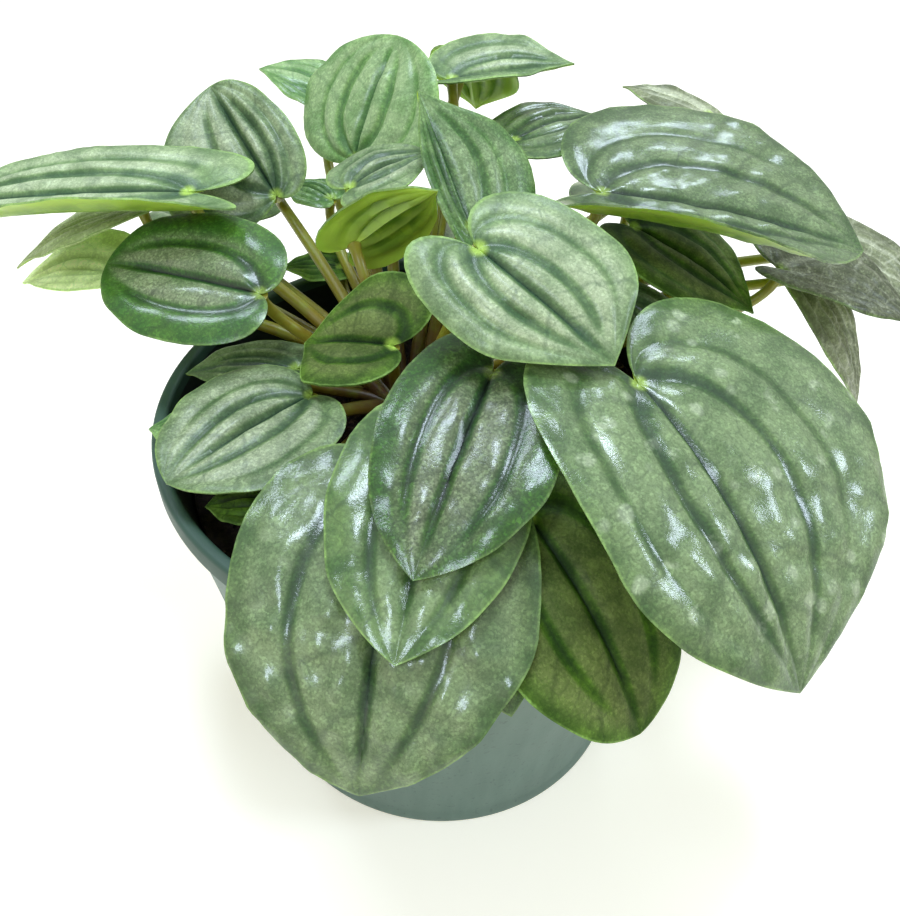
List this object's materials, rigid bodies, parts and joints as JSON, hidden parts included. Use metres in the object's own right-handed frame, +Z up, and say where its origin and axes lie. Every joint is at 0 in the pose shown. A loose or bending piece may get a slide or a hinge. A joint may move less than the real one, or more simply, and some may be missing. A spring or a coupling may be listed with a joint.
{
  "type": "potted frost peperomia",
  "caption": "Potted peperomia: silvery heart-shaped leaves with sunken veins on fleshy stalks, rising from a soil-filled round nursery pot.",
  "frame": {"origin": "middle of the pot's foot, on the surface that the pot stands on", "axes": "+Z up, -Y towards the viewer of the picture, +X to the viewer's right"},
  "size_m": [0.2238, 0.1596, 0.1336],
  "materials": {
    "pot_plastic": "smooth dark green moulded plastic, dull with dust and handling",
    "soil": "near-black crumbly potting mix",
    "stem": "fleshy olive stalks, semi-gloss",
    "leaf": "silvery grey-green blades with darker vein grooves, waxy sheen and yellow-green undersides"
  },
  "bodies": {
    "root": {"pot": "pot_plastic", "soil": "soil", "stems": "stem", "leaf_01": "leaf", "leaf_02": "leaf", "leaf_03": "leaf", "leaf_04": "leaf", "leaf_05": "leaf", "leaf_06": "leaf", "leaf_07": "leaf", "leaf_08": "leaf", "leaf_09": "leaf", "leaf_10": "leaf", "leaf_11": "leaf", "leaf_12": "leaf", "leaf_13": "leaf", "leaf_14": "leaf", "leaf_15": "leaf", "leaf_16": "leaf", "leaf_17": "leaf", "leaf_18": "leaf", "leaf_19": "leaf", "leaf_20": "leaf", "leaf_21": "leaf", "leaf_22": "leaf", "leaf_23": "leaf", "leaf_24": "leaf", "leaf_25": "leaf", "leaf_26": "leaf", "leaf_27": "leaf", "leaf_28": "leaf", "leaf_29": "leaf", "leaf_30": "leaf", "leaf_31": "leaf", "leaf_32": "leaf", "leaf_33": "leaf", "leaf_34": "leaf", "leaf_35": "leaf", "leaf_36": "leaf", "leaf_37": "leaf", "leaf_38": "leaf"}
  },
  "joints": []
}
